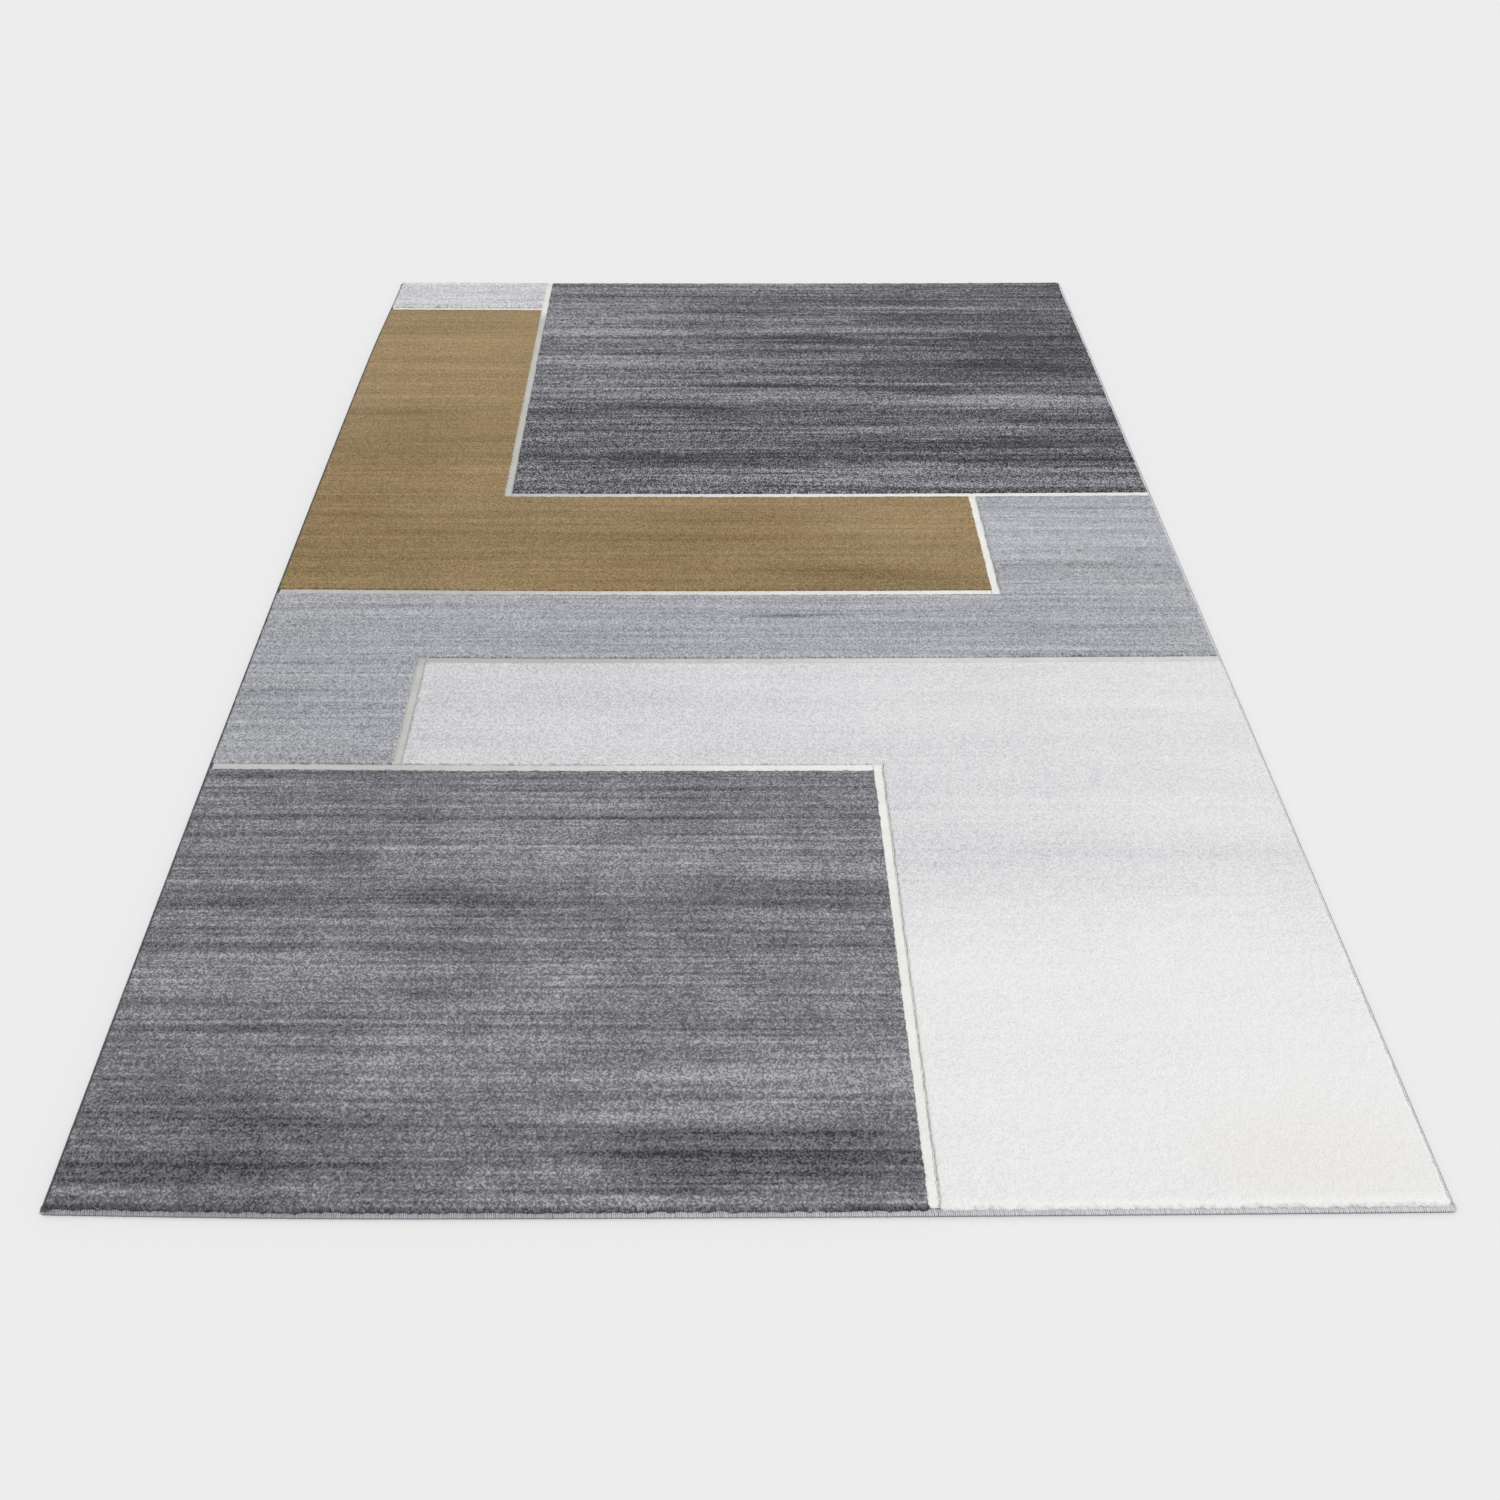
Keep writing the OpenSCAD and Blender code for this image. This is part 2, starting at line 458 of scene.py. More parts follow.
def closed_block(name, rectangles, step, foot, top, wall_rows, near_edge=()):
    """A closed grid block over a union of rectangles, with even walls and one flat bottom face."""
    xs = grid_lines([r[k] for r in rectangles for k in (0, 2)], step, near_edge)
    ys = grid_lines([r[k] for r in rectangles for k in (1, 3)], step, near_edge)
    middle_x, middle_y = (xs[:-1] + xs[1:]) / 2, (ys[:-1] + ys[1:]) / 2
    cells = np.zeros((len(middle_x), len(middle_y)), bool)
    for x0, y0, x1, y1 in rectangles:
        cells |= ((middle_x > x0) & (middle_x < x1))[:, None] & ((middle_y > y0) & (middle_y < y1))

    used = np.zeros((len(xs), len(ys)), bool)
    for di in (0, 1):
        for dj in (0, 1):
            used[di:di + cells.shape[0], dj:dj + cells.shape[1]] |= cells
    number = np.full(used.shape, -1)
    number[used] = np.arange(used.sum())
    place_i, place_j = np.nonzero(used)
    top_points = np.stack([xs[place_i], ys[place_j], np.full(len(place_i), top)], 1)
    i, j = np.nonzero(cells)
    top_faces = np.stack([number[i, j], number[i + 1, j], number[i + 1, j + 1], number[i, j + 1]], 1)

    loop = np.array([number[place] for place in border_loop(cells)])
    points, faces, depth = [top_points], [top_faces], [np.zeros(len(top_points))]
    above = loop
    for row in range(1, wall_rows + 1):
        share = row / wall_rows
        ring_points = top_points[loop].copy()
        ring_points[:, 2] = top + (foot - top) * share
        ring = np.arange(len(loop)) + sum(len(p) for p in points)
        points.append(ring_points)
        depth.append(np.full(len(loop), share))
        faces.append(np.stack([above, ring, np.roll(ring, -1), np.roll(above, -1)], 1))
        above = ring
    points, depth = np.concatenate(points), np.concatenate(depth)
    mesh = mesh_from_arrays(name, points, np.concatenate(faces), above[::-1])
    store_places(mesh, points, depth, border_sides(rectangles))
    return mesh


def store_places(mesh, points, depth, sides):
    """Stores where each point of a block is, for its recipe and its material.

    rim is the distance in from the border. depth is how far down the wall it is, from 0 at the top
    to 1 at the foot. at_end is 1 at the rug's front and back ends. gloom is painted shade at
    the ends and along the left edge, where the sides of the tufts stand in shade. crest
    is a painted highlight on the shoulder behind the ends, where the light catches the tufts.
    outward is the way that the border faces.
    """
    end_shade_reach, left_shade_reach = 2.6, 1.2
    crest_from_end, crest_reach = 4.2, 3.4
    rim, facing = distance_to_sides(points, sides)
    to_end = np.minimum(points[:, 1] - AREA_LOW[1], AREA_HIGH[1] - points[:, 1])
    to_left = points[:, 0] - AREA_LOW[0]
    # Painted shade at the ends and along the left edge, and a painted highlight on the shoulder behind
    # the ends
    at_ends = 1 - to_end / (end_shade_reach * MM)
    at_left = 0.9 * (1 - to_left / (left_shade_reach * MM))
    crest = (1 - np.abs(to_end / MM - crest_from_end) / crest_reach).clip(0, 1)
    store(mesh, "rim", rim)
    store(mesh, "depth", depth)
    store(mesh, "at_end", to_end < SAME_PLACE)
    store(mesh, "gloom", np.maximum(at_ends, at_left).clip(0, 1))
    store(mesh, "crest", crest * (depth == 0))
    outward = np.zeros((len(points), 3), np.float32)
    at_border = rim < 1e-6
    outward[at_border, :2] = facing[at_border]
    store(mesh, "outward", outward, "FLOAT_VECTOR")
    add_bake_map(mesh, points, depth, outward)


def add_bake_map(mesh, points, depth, outward):
    """Lays the top out flat in a square map, with the walls round it and the bottom in a corner."""
    margin, wall_share, bottom_share = 0.02, 0.012, 0.004
    low, high = points.min(0), points.max(0)
    span = np.maximum(high - low, 1e-6)
    flat = margin + (1 - 2 * margin) * (points[:, :2] - low[:2]) / span[:2]
    flat += outward[:, :2] * (depth * wall_share)[:, None]
    corner = np.empty(len(mesh.loops), np.int32)
    mesh.loops.foreach_get("vertex_index", corner)
    laid = flat[corner]
    last = mesh.polygons[-1]
    laid[last.loop_start:last.loop_start + last.loop_total] *= bottom_share
    layer = mesh.uv_layers.new(name="OFBake")
    layer.data.foreach_set("uv", laid.astype(np.float32).ravel())


# ---------------------------------------------------------------------------
# Geometry Nodes
# ---------------------------------------------------------------------------
SOCKET_KINDS = {
    "geometry": "NodeSocketGeometry",
    "number": "NodeSocketFloat",
    "count": "NodeSocketInt",
    "vector": "NodeSocketVector",
    "object": "NodeSocketObject",
    "material": "NodeSocketMaterial",
}


class Recipe:
    """A Geometry Nodes tree with named inputs, which turns a piece into its finished mesh."""

    def __init__(self, name, inputs):
        self.group = bpy.data.node_groups.new(name, "GeometryNodeTree")
        face = self.group.interface
        face.new_socket("Geometry", in_out="OUTPUT", socket_type=SOCKET_KINDS["geometry"])
        face.new_socket("Geometry", in_out="INPUT", socket_type=SOCKET_KINDS["geometry"])
        self.identifiers = {}
        for label, kind in inputs.items():
            socket = face.new_socket(label, in_out="INPUT", socket_type=SOCKET_KINDS[kind])
            self.identifiers[label] = socket.identifier
        self.tree = Tree(self.group)
        self.entry = self.tree.nodes.new("NodeGroupInput")

    def input(self, label):
        return Value(self.tree, self.entry.outputs[label])

    def stored(self, name, kind="FLOAT"):
        return self.tree.node("GeometryNodeInputNamedAttribute", {"data_type": kind}, {"Name": name})

    def random(self, low, high, seed):
        return self.tree.node("FunctionNodeRandomValue", {}, {2: low, 3: high, 8: seed}, output=1)

    def turn(self, angle):
        """A turn about the upright."""
        upright = self.tree.join(0.0, 0.0, angle)
        return self.tree.node("FunctionNodeEulerToRotation", inputs={0: upright})

    def copies(self, points, label, turn, size):
        """A copy of the helper object in an input, at every point."""
        shape = self.tree.node(
            "GeometryNodeObjectInfo", {"transform_space": "ORIGINAL"},
            {"Object": self.input(label)}, output="Geometry",
        )
        return self.tree.node(
            "GeometryNodeInstanceOnPoints",
            inputs={"Points": points, "Instance": shape, "Rotation": turn, "Scale": size},
        )

    def moved(self, geometry, offset):
        return self.tree.node(
            "GeometryNodeSetPosition", inputs={"Geometry": geometry, "Offset": offset}
        )

    def end(self, geometry):
        """Ends the tree in Realize Instances and Set Material."""
        real = self.tree.node("GeometryNodeRealizeInstances", inputs={"Geometry": geometry})
        dressed = self.tree.node(
            "GeometryNodeSetMaterial",
            inputs={"Geometry": real, "Material": self.input("Material")},
        )
        exit_node = self.tree.nodes.new("NodeGroupOutput")
        self.tree.links.new(dressed.socket, exit_node.inputs["Geometry"])
        return self

    def apply(self, name, mesh, values):
        """Runs the tree on a mesh and gives the finished piece, with a plain mesh of its own."""
        source = add_object(name + "_source", mesh)
        modifier = source.modifiers.new("recipe", "NODES")
        modifier.node_group = self.group
        for label, value in values.items():
            modifier[self.identifiers[label]] = value
        graph = bpy.context.evaluated_depsgraph_get()
        result = bpy.data.meshes.new_from_object(source.evaluated_get(graph))
        result.name = name
        source.modifiers.remove(modifier)
        bpy.data.objects.remove(source)
        return link_piece(name, result)


def pile_recipe():
    """Shapes a closed block into cut pile: rounded shoulders, uneven tufts and ragged walls."""
    recipe = Recipe("cut_pile", {
        "Shoulder": "number", "Tuft height": "number", "Tuft spread": "number",
        "Ripple": "number", "Ragged": "number", "Splay": "number", "Lean": "vector",
        "Foot": "number", "Top": "number", "Seed": "count", "Material": "material",
    })
    tree, seed = recipe.tree, recipe.input("Seed")
    rim, at_end = recipe.stored("rim"), recipe.stored("at_end")
    x, y, z = tree.split(tree.node("GeometryNodeInputPosition"))
    above_foot = (z - recipe.input("Foot")) / (recipe.input("Top") - recipe.input("Foot"))
    upright = tree.smooth_step(above_foot, 0.0, 1.0)
    on_top = tree.maths("LESS_THAN", recipe.stored("depth"), 0.01)
    at_wall = 1 - tree.smooth_step(rim, 0.0, 0.4 * MM)

    # The top: rounded shoulders, a gentle ripple, and each tuft a little higher or lower
    shoulder = recipe.input("Shoulder")
    inside = tree.smooth_step(rim, 0.0, shoulder)
    hump = (1 - inside) * (1 - inside) * shoulder * 0.42 * (1 + at_end * 0.5)
    tuft = recipe.random(-1.0, 1.0, seed) * recipe.input("Tuft height")
    medium = tree.noise(x * 45, y * 70, 3.1, detail=1.0) * 0.4
    large = tree.noise(x * 5, y * 9, 8.7, detail=1.0) * 0.6
    ripple = (medium + large) * recipe.input("Ripple")
    lift = (tuft + ripple) * on_top - hump * above_foot

    # Sideways on the top: each tuft strays from its place in the grid
    spread = recipe.input("Tuft spread")
    interior = on_top * tree.smooth_step(rim, 0.0, 3 * MM)
    side_x = recipe.random(-1.0, 1.0, seed + 11) * spread * interior
    side_y = recipe.random(-1.0, 1.0, seed + 23) * spread * interior

    # Outwards at the walls: ragged tufts, which splay over the edge at the rug's two ends
    bulge = tree.maths("SINE", upright * 2.3)
    ragged = recipe.random(-0.35, 1.0, seed + 37) * recipe.input("Ragged") * bulge * at_wall
    below_top = tree.smooth_step(above_foot, 0.95, 0.35, 0.4, 1.0)
    splay = below_top * tree.smooth_step(above_foot, 0.0, 0.2) * recipe.input("Splay")
    splay = splay * recipe.random(0.6, 1.15, seed + 41) * at_end * at_wall
    wander = tree.noise(x * 60, y * 60, 5.2, detail=2.0) * recipe.input("Ragged") * 0.75
    out = ragged + splay + wander * bulge * at_wall

    out_x, out_y, _ = tree.split(recipe.stored("outward", "FLOAT_VECTOR"))
    lean_x, lean_y, _ = tree.split(recipe.input("Lean"))
    offset = tree.join(
        side_x + out_x * out + lean_x * upright,
        side_y + out_y * out + lean_y * upright,
        lift,
    )
    return recipe.end(recipe.moved(recipe.input("Geometry"), offset))


def tuft_recipe():
    """Stands a tuft at every step along the border lines, leaning out over the edge."""
    recipe = Recipe("border_tufts", {
        "Pitch": "number", "Tuft": "object", "Lean out": "number", "Spread": "number",
        "Seed": "count", "Material": "material",
    })
    tree, seed, spread = recipe.tree, recipe.input("Seed"), recipe.input("Spread")
    curve = tree.node("GeometryNodeMeshToCurve", inputs={"Mesh": recipe.input("Geometry")})
    points = tree.node(
        "GeometryNodeCurveToPoints", {"mode": "LENGTH"},
        {"Curve": curve, "Length": recipe.input("Pitch")},
    )
    out_x, out_y, _ = tree.split(recipe.stored("outward", "FLOAT_VECTOR"))
    lean = recipe.input("Lean out") * recipe.random(-0.5, 1.6, seed)
    aim = tree.join(
        out_x * lean + recipe.random(-1.0, 1.0, seed + 3) * 0.22,
        out_y * lean + recipe.random(-1.0, 1.0, seed + 5) * 0.22,
        1.0,
    )
    standing = tree.node("FunctionNodeAlignRotationToVector", {"axis": "Z"}, {"Vector": aim})
    turned = tree.node(
        "FunctionNodeRotateRotation", {"rotation_space": "LOCAL"},
        {0: standing, 1: recipe.turn(recipe.random(0.0, 6.28, seed + 7))},
    )
    shift = tree.join(
        recipe.random(-1.0, 1.0, seed + 9) * spread,
        recipe.random(-1.0, 1.0, seed + 13) * spread,
        0.0,
    )
    width = recipe.random(0.8, 1.25, seed + 17)
    size = tree.join(width, width, recipe.random(0.9, 1.05, seed + 19))
    return recipe.end(recipe.copies(recipe.moved(points, shift), "Tuft", turned, size))


def row_recipe():
    """Repeats a shape along a straight line, each copy turned a little and toned by chance."""
    recipe = Recipe("wound_row", {
        "Shape": "object", "Count": "count", "Start": "vector", "Step": "vector",
        "Slant": "number", "Jitter": "number", "Half run": "number", "Corner": "number",
        "Seed": "count", "Material": "material",
    })
    tree, seed = recipe.tree, recipe.input("Seed")
    line = tree.node(
        "GeometryNodeMeshLine", {"mode": "OFFSET"},
        {"Count": recipe.input("Count"), "Start Location": recipe.input("Start"),
         "Offset": recipe.input("Step")},
    )
    x, y, _ = tree.split(tree.node("GeometryNodeInputPosition"))
    step_x, _, _ = tree.split(recipe.input("Step"))
    runs_along_x = tree.maths("GREATER_THAN", tree.absolute(step_x), 1e-6)
    along = tree.absolute(x) * runs_along_x + tree.absolute(y) * (1 - runs_along_x)
    to_end = (recipe.input("Half run") - along) / recipe.input("Corner")
    short = 1 - tree.maths("MINIMUM", tree.maths("MAXIMUM", to_end, 0.0), 1.0)
    narrowing = tree.maths("SQRT", tree.maths("MAXIMUM", 1 - short * short, 0.05))
    heading = recipe.input("Slant") + recipe.random(-1.0, 1.0, seed) * recipe.input("Jitter")
    width = (0.3 + 0.7 * narrowing) * recipe.random(0.985, 1.01, seed + 3)
    size = tree.join(1.0, width, recipe.random(0.97, 1.02, seed + 5))
    toned = tree.node(
        "GeometryNodeStoreNamedAttribute", {"data_type": "FLOAT", "domain": "INSTANCE"},
        {"Geometry": recipe.copies(line, "Shape", recipe.turn(heading), size),
         "Name": "tone", "Value": recipe.random(0.0, 1.0, seed + 7)},
    )
    return recipe.end(toned)


# ---------------------------------------------------------------------------
# Shapes that repeat
# ---------------------------------------------------------------------------
def tuft_shape():
    """One cut tuft of the border: narrow at its root, fuller and domed at its cut tip."""
    profile = [(-4.2 * MM, 0.8 * MM), (-0.8 * MM, 1.3 * MM), (0.45 * MM, 0.6 * MM)]
    rings = [
        [(radius * math.cos(a), radius * math.sin(a), z) for a in circle(5)]
        for z, radius in profile
    ]
    return swept_shape("tuft_shape", rings)


def stitch_shape():
    """One stitch of the seam: a slim, slightly arched grain that dips in at both ends."""
    ring_count, half, radius, dip = 6, STITCH_PITCH * 0.54, 0.48 * MM, 0.35 * MM
    rings = []
    for k in range(ring_count):
        t = -1 + 2 * k / (ring_count - 1)
        r = radius * (0.45 + 0.55 * math.sqrt(max(0.0, 1 - t * t)))
        rings.append([
            (half * t, r * math.cos(a), r * math.sin(a) - dip * t * t) for a in circle(6)
        ])
    return swept_shape("stitch_shape", rings)


def wrap_shape(name, width, thickness, yarn):
    """One turn of the overcast yarn: a closed ring round a rounded section, inner side at y = 0.

    The ring lies across the edge: y runs out to the rim and z is the height above the floor.
    """
    inset, corner = yarn / 2, thickness * 0.4 - yarn / 2
    y0, y1, z0, z1 = inset, width - inset, inset, thickness - inset
    path = [(y0, z1), (y0, (z0 + z1) / 2), (y0, z0), ((y0 + y1) / 2, z0)]
    for corner_z, first_angle in ((z0 + corner, -90), (z1 - corner, 0)):
        for turn in (0, 45, 90):
            a = math.radians(first_angle + turn)
            path.append((y1 - corner + corner * math.cos(a), corner_z + corner * math.sin(a)))
    path.append(((y0 + y1) / 2, z1))
    middle = (sum(p[0] for p in path) / len(path), (z0 + z1) / 2)
    half_pitch = WRAP_PITCH * 0.56
    rings = []
    for y, z in path:
        away = Vector((y - middle[0], z - middle[1])).normalized() * inset
        rings.append([
            (half_pitch, -y, z),
            (0.0, -(y + away.x), z + away.y),
            (-half_pitch, -y, z),
            (0.0, -(y - away.x), z - away.y),
        ])
    return swept_shape(name, rings, joined=True)


# ---------------------------------------------------------------------------
# Materials
# ---------------------------------------------------------------------------
def tuft_relief(tree, x, y, z, pitch):
    """The rounded tips of tufts that stand a pitch apart, with the grain of their fibres."""
    from_tip = tree.node(
        "ShaderNodeTexVoronoi", {"voronoi_dimensions": "3D"},
        {"Vector": tree.join(x, y, z), "Scale": 1 / pitch}, output="Distance",
    )
    return (1 - from_tip) + tree.noise(x * 1900, y * 1900, z * 500, 1.0) * 0.10


def tuft_chances(tree, x, y):
    """Three random values for each tuft, each from 0 to 1."""
    return tree.split(tree.node(
        "ShaderNodeTexVoronoi", {"voronoi_dimensions": "2D"},
        {"Vector": tree.join(x, y, 0.0), "Scale": 1 / GRAIN_PITCH}, output="Color",
    ))


def from_patch(x, y, patch):
    """Squared distance from the middle of a patch (x, y, half length, half width), 1 at its border."""
    middle_x, middle_y, half_length, half_width = patch
    across, along = (x - middle_x) / half_length, (y - middle_y) / half_width
    return across * across + along * along


def pile_material(name, dark, middle, light, streaks, rows, grain, clouds, patches=(),
                  painted_light_slope=(0.0, 0.0), tone=0.5, tint=None, root=0.16, gloomy=0.75,
                  painted_highlight_strength=0.14, blush=None):
    """Cut pile in a melange yarn.

    The tone runs from dark through middle to light. It is moved by streaks along the weft,
    given as (length, width, amount), by single rows of tufts, by each tuft's own grain, by soft
    clouds where the nap lies differently, by broad patches given as (x, y, half length, half
    width, amount), and by a painted slope of light across the rug. A tint, given as a colour and a
    size, comes and goes. A blush, given as a patch and a colour, is a part where the yarn looks
    warmer. Painted shade darkens the roots low on the walls, the ends and the left edge, and a
    painted highlight lightens the shoulder behind the ends.
    """
    material, tree, shader, (x, y, z) = new_material(name)
    # Painted light: a slope of tone across the rug, lighter where more light falls
    tone = tone + x * painted_light_slope[0] + y * painted_light_slope[1]
    for number, (length, width, amount) in enumerate(streaks):
        tone = tone + tree.noise(x / length, y / width, 1.7 + 5.3 * number, 1.5) * amount
    if patches:
        wander_x = x + tree.noise(x / 0.25, y / 0.05, 12.9) * 0.04
        wander_y = y + tree.noise(x / 0.30, y / 0.04, 47.2) * 0.010
        for *patch, amount in patches:
            away = from_patch(wander_x, wander_y, patch)
            tone = tone + tree.smooth_step(away, 0.0, 1.6, amount, 0.0)
    row = tree.maths("FLOOR", y / ROW_PITCH)
    row_length, row_amount = rows
    tone = tone + tree.noise(x / row_length, row * 0.73, 31.4, 2.0) * row_amount
    own, second, _ = tuft_chances(tree, x, y)
    clump = tree.noise(x / (6.2 * MM), y / (4.0 * MM), 77.7, 1.0)
    tone = tone + (own - 0.5) * 3.4 * grain + clump * grain * 0.12
    for number, (size, amount) in enumerate(clouds):
        tone = tone + tree.noise(x / size, y / size, 61.2 + 7.9 * number, 3.0, 0.55) * amount
    colour = tree.ramp(tone, dark, middle, light)
    if tint:
        shade, size = tint
        amount = tree.smooth_step(tree.noise(x / size, y / size * 3, 91.7, 2.0), -1.5, 1.5)
        colour = tree.tinted(colour, (*shade, 1.0), amount)
    if blush:
        patch, warm = blush
        amount = tree.smooth_step(from_patch(x, y, patch), 0.0, 1.4, 1.0, 0.0)
        amount = amount * tree.smooth_step(own, 0.35, 1.0)
        colour = tree.tinted(colour, (*warm, 1.0), amount)
    # Painted shade: the tufts darken towards their roots low on the walls, where the pile shades
    # itself
    light_in = tree.smooth_step(z, PILE_FOOT + 1.5 * MM, OUTLINE_TOP + 0.6 * MM, root, 1.0)
    # Painted shade at the rug's ends and along the left edge, where the sides of the tufts stand in
    # shade
    light_in = light_in * (1 - tree.stored("gloom") * (0.42 + second * 0.36) * gloomy)
    # Painted highlight on the shoulder behind the ends, where the light catches the tufts
    light_in = light_in * (1 + tree.stored("crest") * painted_highlight_strength)
    finish_shader(
        tree, shader, tree.shaded(colour, light_in), 0.86 + (second - 0.5) * 0.12,
        tuft_relief(tree, x, y, z, TUFT_PITCH), 0.55, 0.9 * MM,
        {"Sheen Weight": 0.12, "Sheen Roughness": 0.45, "Specular IOR Level": 0.15},
    )
    return material


def charcoal_back_material():
    return pile_material(
        "charcoal_melange_back", srgb(38, 38, 42), srgb(106, 107, 112), srgb(184, 185, 191),
        streaks=[(1.0, 0.032, 0.095), (0.60, 0.011, 0.120), (0.16, 0.006, 0.055)],
        rows=(0.14, 0.045), grain=0.31, clouds=[(0.35, 0.025)],
        patches=[
            (-0.02, 1.000, 0.30, 0.026, -0.20), (0.50, 0.975, 0.26, 0.040, -0.16),
            (0.62, 0.855, 0.26, 0.036, -0.24), (0.22, 0.840, 0.25, 0.024, -0.28),
            (0.68, 0.760, 0.22, 0.050, -0.20), (0.42, 0.888, 0.40, 0.020, 0.22),
            (0.16, 0.652, 0.34, 0.020, -0.26), (0.42, 0.590, 0.50, 0.028, 0.28),
            (-0.12, 0.555, 0.36, 0.026, -0.24), (0.70, 0.505, 0.14, 0.018, -0.20),
            (0.42, 0.485, 0.24, 0.026, 0.14), (0.50, 0.426, 0.42, 0.024, -0.26),
            (0.05, 0.376, 0.80, 0.024, -0.30), (0.40, 0.338, 0.50, 0.014, 0.16),
            (-0.20, 0.750, 0.28, 0.055, 0.10), (-0.30, 0.970, 0.20, 0.120, 0.13),
        ],
        painted_light_slope=(-0.11, 0.0), tone=0.400,
    )


def charcoal_front_material():
    return pile_material(
        "charcoal_melange_front", srgb(54, 54, 58), srgb(124, 124, 129), srgb(200, 200, 205),
        streaks=[(1.3, 0.045, 0.055), (0.80, 0.014, 0.065), (0.40, 0.005, 0.055)],
        rows=(0.25, 0.055), grain=0.155, clouds=[(0.16, 0.040), (0.05, 0.028)],
        patches=[
            (-0.54, -0.716, 0.34, 0.022, -0.19), (0.10, -0.708, 0.24, 0.028, -0.12),
            (-0.58, -0.650, 0.08, 0.035, -0.10), (-0.28, -0.575, 0.22, 0.014, -0.08),
            (0.00, -0.530, 0.22, 0.024, -0.13), (-0.30, -0.492, 0.22, 0.024, -0.07),
            (-0.48, -0.842, 0.40, 0.032, 0.10), (0.03, -0.858, 0.22, 0.026, 0.05),
            (-0.64, -0.940, 0.26, 0.036, -0.14), (-0.20, -1.008, 0.24, 0.018, -0.10),
            (0.10, -0.960, 0.16, 0.026, 0.10), (-0.66, -1.050, 0.20, 0.060, -0.12),
            (0.02, -1.084, 0.28, 0.034, -0.22), (-0.58, -1.108, 0.28, 0.026, -0.13),
        ],
        painted_light_slope=(0.03, 0.0),
    )


def silver_material():
    return pile_material(
        "silver_melange", srgb(108, 109, 113), srgb(166, 168, 173), srgb(212, 214, 219),
        streaks=[(0.60, 0.006, 0.055), (0.80, 0.022, 0.040)],
        rows=(0.22, 0.060), grain=0.19, clouds=[(0.30, 0.030)],
        patches=[
            (0.10, -0.108, 0.10, 0.006, -0.45), (0.62, 0.150, 0.25, 0.110, 0.08),
            (0.60, 0.030, 0.20, 0.008, -0.14),
        ],
        painted_light_slope=(0.05, 0.0), tint=((0.980, 0.978, 1.01), 0.30), root=0.4,
    )


def gold_material():
    return pile_material(
        "gold_yarn", srgb(98, 80, 49), srgb(144, 123, 88), srgb(184, 163, 127),
        streaks=[(0.90, 0.030, 0.045), (0.50, 0.008, 0.045)],
        rows=(0.25, 0.045), grain=0.16, clouds=[(0.30, 0.030)],
        patches=[
            (-0.72, 0.380, 0.20, 0.180, -0.08), (-0.70, 0.100, 0.28, 0.120, -0.05),
            (-0.10, 0.100, 0.32, 0.030, -0.09),
            (0.25, 0.000, 0.22, 0.030, -0.10), (0.38, 0.180, 0.22, 0.060, 0.08),
        ],
        painted_light_slope=(0.03, 0.13), tint=((1.035, 0.985, 0.955), 0.35),
    )


def ivory_material():
    return pile_material(
        "ivory_yarn", srgb(178, 178, 183), srgb(222, 222, 225), srgb(241, 241, 240),
        streaks=[(0.90, 0.060, 0.030), (0.50, 0.012, 0.016)],
        rows=(0.30, 0.024), grain=0.165, clouds=[(0.28, 0.035)],
        patches=[
            (0.58, -0.340, 0.14, 0.018, -0.09), (0.50, -0.620, 0.34, 0.028, -0.08),
            (0.42, -0.700, 0.26, 0.028, -0.07), (0.55, -0.530, 0.24, 0.018, 0.06),
            # Painted light: this broad patch makes the front right of the ivory brighter
            (0.45, -1.020, 0.70, 0.300, 0.42),
        ],
        painted_light_slope=(0.27, 0.0), tone=0.475, root=0.75, gloomy=0.0, painted_highlight_strength=0.04,
        blush=((0.66, -1.08, 0.15, 0.07), (1.0, 0.93, 0.86)),
    )


def pale_corner_material():
    return pile_material(
        "pale_grey_melange", srgb(150, 150, 154), srgb(202, 202, 205), srgb(236, 236, 238),
        streaks=[(0.30, 0.008, 0.065), (0.40, 0.020, 0.060)],
        rows=(0.10, 0.080), grain=0.27, clouds=[(0.20, 0.060)], root=0.8, gloomy=0.12,
    )


def outline_material():
    """Low, dense, cream pile of the sunken outlines, with painted shade to the left and duller behind
    the ivory.
    """
    material, tree, shader, (x, y, z) = new_material("cream_low_pile")
    own, second, _ = tuft_chances(tree, x, y)
    ivory_back_low, ivory_back_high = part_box("outline_ivory_back")
    ivory_back = (ivory_back_low.y + ivory_back_high.y) / 2 - 5 * MM
    # Painted light: the cream is darker to the left and lighter to the right, where the key light
    # falls
    tone = tree.smooth_step(x, -0.60, 0.25, 0.14, 0.82) + tree.smooth_step(y, 0.95, 1.0, 0.0, 0.5)
    tone = tone - tree.smooth_step(y, -0.35, -0.05, 0.0, 0.08) * tree.smooth_step(x, 0.40, 0.15)
    tone = tone - tree.smooth_step(tree.absolute(y - ivory_back), 8 * MM, 14 * MM, 0.42, 0.0)
    tone = tone + (own - 0.5) * 0.16 + tree.noise(x * 25, y * 25, 4.4) * 0.04
    colour = tree.ramp(tone, srgb(186, 185, 181), srgb(222, 221, 217), srgb(247, 246, 242))
    finish_shader(
        tree, shader, colour, 0.9 + (second - 0.5) * 0.08,
        tuft_relief(tree, x, y, z, GRAIN_PITCH), 0.5, 0.6 * MM,
        {"Sheen Weight": 0.1, "Specular IOR Level": 0.15},
    )
    return material


